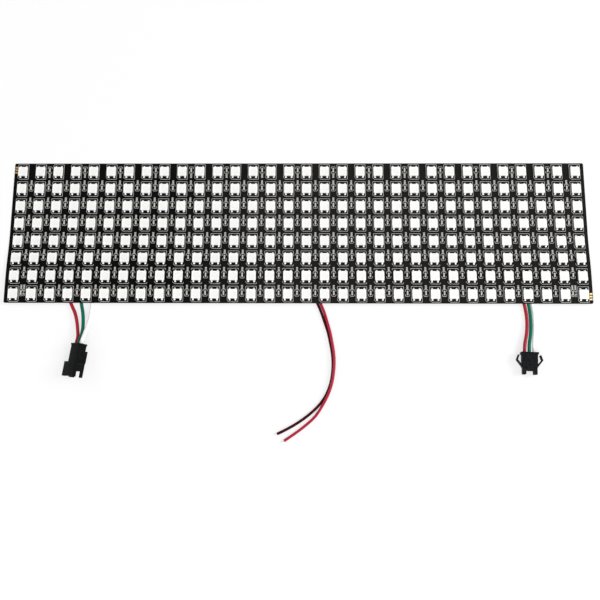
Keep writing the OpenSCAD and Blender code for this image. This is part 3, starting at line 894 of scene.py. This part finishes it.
def strand_bundle(start, end, diameter):
    """A twisted bundle of fine strands between two points in millimetres."""
    start, end = Vector(start), Vector(end)
    run = end - start
    turn = run.to_track_quat("Z", "Y").to_matrix().to_4x4()
    length = run.length
    strand_r = diameter / 6
    steps, sides, twist = 10, 8, 150
    angles = [2 * math.pi * k / sides for k in range(sides)]
    parts = []
    for strand in range(7):
        reach = 0 if strand == 6 else diameter / 2 - strand_r
        rings = []
        for step in range(steps + 1):
            t = step / steps
            a = math.radians(60 * strand + twist * t)
            centre = Vector((reach * math.cos(a), reach * math.sin(a), length * t))
            taper = 1 if step < steps else 0.6
            rings.append([
                tuple(centre + Vector((math.cos(b), math.sin(b), 0)) * strand_r * taper)
                for b in angles
            ])
        parts.append(loft(rings))
    return moved(joined(*parts), Matrix.Translation(start) @ turn)


def build_tips():
    """The bare, tinned strands beyond the power wires' ends."""
    tips = []
    for route in POWER_ROUTES.values():
        last, before = smooth_route(route, 1)[-1], smooth_route(route, 1)[-3]
        run = Vector((last.x - before.x, last.y - before.y, 0)).normalized()
        end = Vector((POWER_X + last.x, EDGE_Y + last.y, max(last.z, WIRE_REST) + POWER_OD / 2))
        tips.append(strand_bundle(end + run * FIT, end + run * TIP_BARE, STRAND_D))
    strands = add_mesh("power_tip_strands", [(*joined(*tips), SOLDER)], 50)
    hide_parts("power_tinned_tips")
    return strands


def build_cords(socket, plug, tips):
    groups = [
        ("input", INPUT_ROUTES, INPUT_X, LEAD_OD, DATA_SHADES, 3, "connector",
         [socket, "input_contact_pins"]),
        ("output", OUTPUT_ROUTES, OUTPUT_X, LEAD_OD, DATA_SHADES, 3, "connector",
         [plug, "output_contact_sockets"]),
        ("power", POWER_ROUTES, POWER_X, POWER_OD, POWER_SHADES, 1, "bare", [tips]),
    ]
    for group, routes, group_x, od, shades, between, far_end, with_pieces in groups:
        for shade, route in routes.items():
            add_wire(
                f"{group}_wire_{shade}", route, group_x, od, shades[shade], between,
            )


# ---- connectors ----


def soften(name, radius_mm, material):
    """A copy of a CAD piece with its edges rounded as a moulding's are, to show instead of it."""
    node = nodes[name]
    mesh = node.data.copy()
    bm = bmesh.new()
    bm.from_mesh(mesh)
    bmesh.ops.remove_doubles(bm, verts=bm.verts[:], dist=0.004 * MM)
    bmesh.ops.dissolve_limit(
        bm, angle_limit=math.radians(2), verts=bm.verts[:], edges=bm.edges[:], delimit={"NORMAL"}
    )
    sharp = [
        e for e in bm.edges if len(e.link_faces) == 2 and e.calc_face_angle() > math.radians(30)
    ]
    bmesh.ops.bevel(
        bm, geom=sharp, offset=radius_mm * MM, segments=2, profile=0.6, affect="EDGES",
        clamp_overlap=True,
    )
    bm.to_mesh(mesh)
    bm.free()
    mesh.polygons.foreach_set("use_smooth", [True] * len(mesh.polygons))
    mesh.set_sharp_from_angle(angle=math.radians(40))
    piece = bpy.data.objects.new(name + "_moulding", mesh)
    SCENE.collection.objects.link(piece)
    mesh.materials.clear()
    mesh.materials.append(material)
    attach(piece, "root")
    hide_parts(name)
    return piece


# ---- floor, light and camera ----


def seen_by_camera(tree):
    """1 for rays from the camera, a reflection or clear material, and 0 for those that light."""
    path = tree.nodes.new("ShaderNodeLightPath")
    seen = path.outputs["Is Camera Ray"]
    for output in ("Is Glossy Ray", "Is Transmission Ray"):
        either = tree.nodes.new("ShaderNodeMath")
        either.operation = "MAXIMUM"
        tree.links.new(seen, either.inputs[0])
        tree.links.new(path.outputs[output], either.inputs[1])
        seen = either.outputs[0]
    return seen


def build_floor():
    """A pale floor that looks nearly white and keeps the part's shadow."""
    shader = Shader("pale_floor", (0.95, 0.95, 0.95), 0.9, Specular_IOR_Level=0.0)
    share = shader.node("ShaderNodeMath", operation="MULTIPLY")
    share.inputs[1].default_value = 0.7
    shader.link(seen_by_camera(shader.tree), share.inputs[0])
    glow = shader.node("ShaderNodeEmission")
    glow.inputs["Strength"].default_value = 1.0
    mix = shader.node("ShaderNodeMixShader")
    shader.link(share.outputs[0], mix.inputs["Fac"])
    shader.link(shader.surface.outputs[0], mix.inputs[1])
    shader.link(glow.outputs[0], mix.inputs[2])
    shader.link(mix.outputs[0], shader.tree.nodes["Material Output"].inputs["Surface"])
    bpy.ops.mesh.primitive_plane_add(size=8)
    floor = bpy.context.object
    floor.name = "floor"
    floor.location.z = cad_box[0][2]
    floor.data.materials.append(shader.material)


def build_world():
    """A grey world that looks white."""
    world = bpy.data.worlds.new("studio")
    world.use_nodes = True
    SCENE.world = world
    tree = world.node_tree
    background = tree.nodes["Background"]
    background.inputs["Strength"].default_value = 1
    shade = tree.nodes.new("ShaderNodeMix")
    shade.data_type = "RGBA"
    shade.inputs["A"].default_value = (0.5, 0.5, 0.505, 1)
    shade.inputs["B"].default_value = (1, 1, 1, 1)
    tree.links.new(seen_by_camera(tree), shade.inputs["Factor"])
    tree.links.new(shade.outputs["Result"], background.inputs["Color"])


def add_lamp(name, place, target, size, power):
    light = bpy.data.lights.new(name, "AREA")
    light.shape = "DISK"
    light.size = size
    light.energy = power
    lamp = bpy.data.objects.new(name, light)
    SCENE.collection.objects.link(lamp)
    lamp.location = place
    lamp.rotation_euler = (Vector(target) - Vector(place)).to_track_quat("-Z", "Y").to_euler()


def build_lamps():
    add_lamp("key_lamp", (1.25, 0.1, 1.0), (0.05, -0.02, 0), 0.7, 13)
    add_lamp("fill_lamp", (-1.2, 0.5, 1.2), (-0.05, -0.02, 0), 0.9, 3)
    add_lamp("front_lamp", (0.1, -1.3, 1.1), (0, -0.03, 0), 0.9, 11)


def build_camera():
    data = bpy.data.cameras.new("camera")
    data.lens = 60
    data.sensor_width = 36
    data.shift_y = -0.1328
    data.clip_start = 0.01
    camera = bpy.data.objects.new("camera", data)
    SCENE.collection.objects.link(camera)
    place = (0.01126, -0.12998, 0.53868)
    yaw, tilt, roll = 0.0717, 0.2496, -0.0691
    turn = (
        Matrix.Rotation(yaw, 4, "Z")
        @ Matrix.Rotation(tilt, 4, "X")
        @ Matrix.Rotation(roll, 4, "Z")
    )
    camera.matrix_world = Matrix.Translation(place) @ turn
    SCENE.camera = camera


dress_nodes()
build_camera()
build_cords(
    soften("input_socket_housing", 0.12, NYLON),
    # The plug's moulding takes the lighter copy of the nylon, which is painted light.
    soften("output_plug_housing", 0.1, LIGHTER_PAINTED_NYLON),
    build_tips(),
)
build_leds()
build_dies()
build_chip_components()
build_legend()
build_floor()
build_world()
build_lamps()
SCENE.view_settings.view_transform = "Standard"
